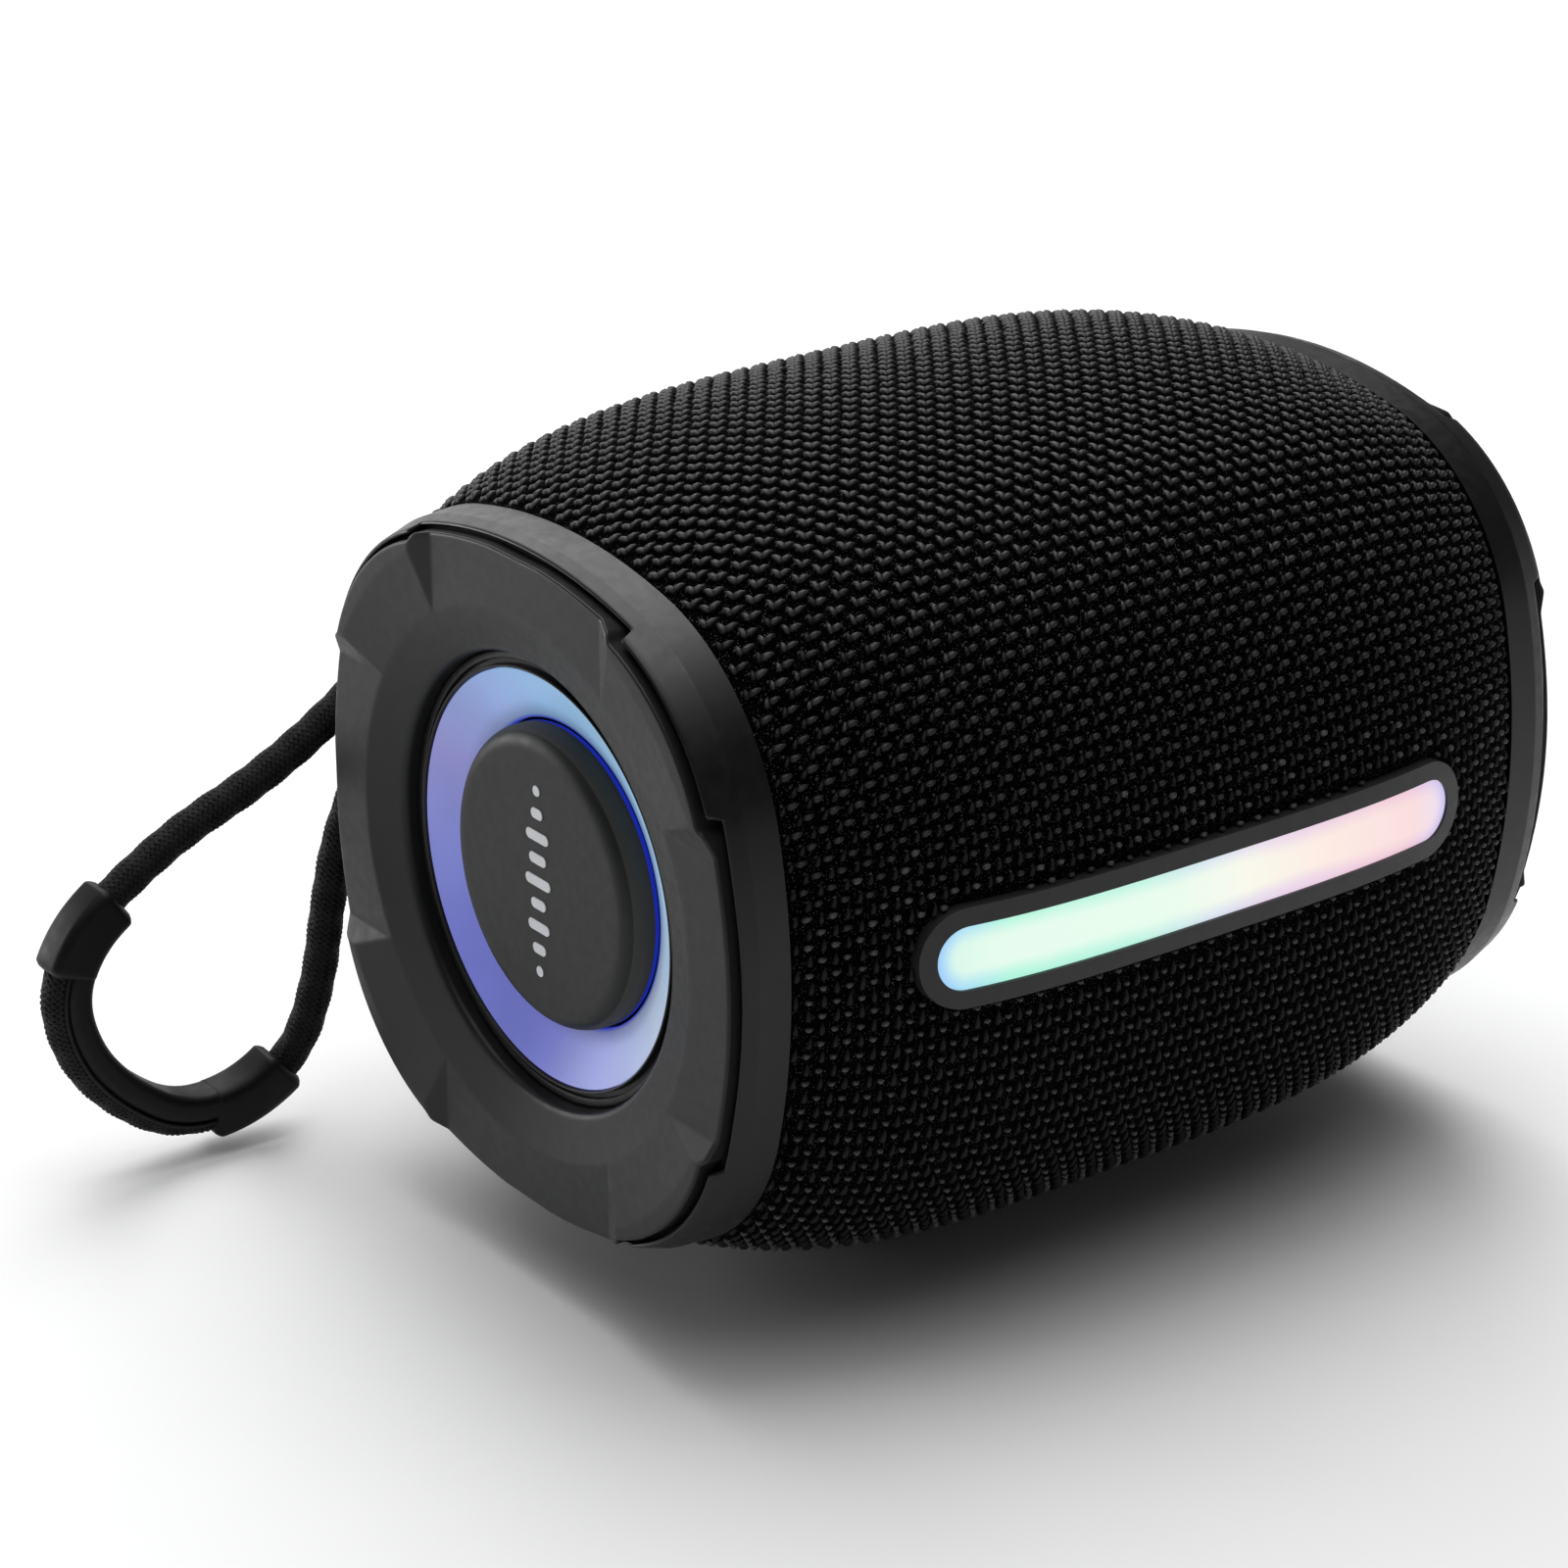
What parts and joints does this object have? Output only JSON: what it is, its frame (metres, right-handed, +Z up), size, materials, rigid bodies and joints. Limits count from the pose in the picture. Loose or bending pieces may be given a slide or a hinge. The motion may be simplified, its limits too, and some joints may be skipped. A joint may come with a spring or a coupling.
{
  "type": "wireless barrel speaker",
  "caption": "Barrel wireless speaker in woven grille cloth, with rubber end bumpers, lit passive radiators, a front light bar, rear keys and a braided hang loop.",
  "frame": {"origin": "middle of the foot pad's flat underside", "axes": "+X along the barrel to the right end, +Y to the back with the keys and hang loop, +Z up"},
  "size_m": [0.1466, 0.0983, 0.0931],
  "materials": {
    "cloth": "woven grille cloth, thick black yarn",
    "shell": "moulded ABS",
    "ring": "fine satin moulded ABS",
    "bumper": "soft matte rubber",
    "frame": "moulded ABS",
    "plate": "matte, fine grain",
    "soft": "butyl rubber",
    "glow": "translucent diffuser, lit from behind",
    "lens": "translucent diffuser, lit from behind",
    "board": "solder mask over glass epoxy",
    "steel": "zinc plated",
    "magnet": "ferrite",
    "cone": "pressed paper cone",
    "foam": "closed-cell foam",
    "cell": "shrink sleeve",
    "keys": "silicone keys",
    "cord": "braided nylon",
    "grip": "moulded rubber",
    "wire": "insulated wire"
  },
  "bodies": {
    "root": {"battery_cell": "cell", "battery_holder": "shell", "card_slot": "steel", "control_panel": "ring", "driver_baffle": "shell", "driver_basket": "steel", "driver_gasket": "foam", "driver_guard": "steel", "driver_magnet": "magnet", "driver_spider": "cone", "driver_surround": "soft", "driver_top_plate": "steel", "driver_yoke": "steel", "end_cap_screws": "steel", "foot_pad": "bumper", "grille_fabric": "cloth", "key_board": "board", "left_bumper": "bumper", "left_end_ring": "ring", "left_end_seal": "soft", "left_light_ring": "glow", "left_radiator_frame": "frame", "left_radiator_surround": "soft", "left_ring_led_board": "board", "light_bar_bezel": "ring", "light_bar_led_board": "board", "light_bar_lens": "lens", "main_board": "board", "microphone": "frame", "port_bay": "shell", "port_board": "board", "right_bumper": "bumper", "right_end_ring": "ring", "right_end_seal": "soft", "right_light_ring": "glow", "right_radiator_frame": "frame", "right_radiator_surround": "soft", "right_ring_led_board": "board", "shell_front": "shell", "shell_rear": "shell", "shell_screws": "steel", "shell_seal": "soft", "speaker_wires": "wire", "strap_anchor": "frame", "strap_cord": "cord", "strap_grip": "grip", "tact_switches": "frame", "usb_c_port": "steel"},
    "left_radiator": {"left_radiator_plate": "plate"},
    "right_radiator": {"right_radiator_plate": "plate"},
    "driver": {"driver_cone": "cone"},
    "power_key": {"power_button": "keys"},
    "minus_key": {"minus_button": "keys"},
    "play_key": {"play_button": "keys"},
    "plus_key": {"plus_button": "keys"},
    "mode_key": {"mode_button": "keys"},
    "flap": {"port_flap": "keys"}
  },
  "joints": [
    {"name": "left_radiator_slide", "type": "slide", "parent": "root", "child": "left_radiator", "axis": [-1, 0, 0], "range_m": [-0.0015, 0.0015], "stiffness_N_per_m": 600},
    {"name": "right_radiator_slide", "type": "slide", "parent": "root", "child": "right_radiator", "axis": [1, 0, 0], "range_m": [-0.0015, 0.0015], "stiffness_N_per_m": 600},
    {"name": "driver_cone_slide", "type": "slide", "parent": "root", "child": "driver", "axis": [0, 0, 1], "range_m": [-0.0015, 0.0015], "stiffness_N_per_m": 900},
    {"name": "power_key_press", "type": "slide", "parent": "root", "child": "power_key", "axis": [0, -1, 0], "range_m": [0, 0.0006], "stiffness_N_per_m": 1500},
    {"name": "minus_key_press", "type": "slide", "parent": "root", "child": "minus_key", "axis": [0, -1, 0], "range_m": [0, 0.0006], "stiffness_N_per_m": 1500},
    {"name": "play_key_press", "type": "slide", "parent": "root", "child": "play_key", "axis": [0, -1, 0], "range_m": [0, 0.0006], "stiffness_N_per_m": 1500},
    {"name": "plus_key_press", "type": "slide", "parent": "root", "child": "plus_key", "axis": [0, -1, 0], "range_m": [0, 0.0006], "stiffness_N_per_m": 1500},
    {"name": "mode_key_press", "type": "slide", "parent": "root", "child": "mode_key", "axis": [0, -1, 0], "range_m": [0, 0.0006], "stiffness_N_per_m": 1500},
    {"name": "port_flap_hinge", "type": "hinge", "parent": "root", "child": "flap", "pos_m": [0.039, 0.04263, 0.0505], "axis": [0, 0, -1], "range_deg": [0, 90]}
  ]
}
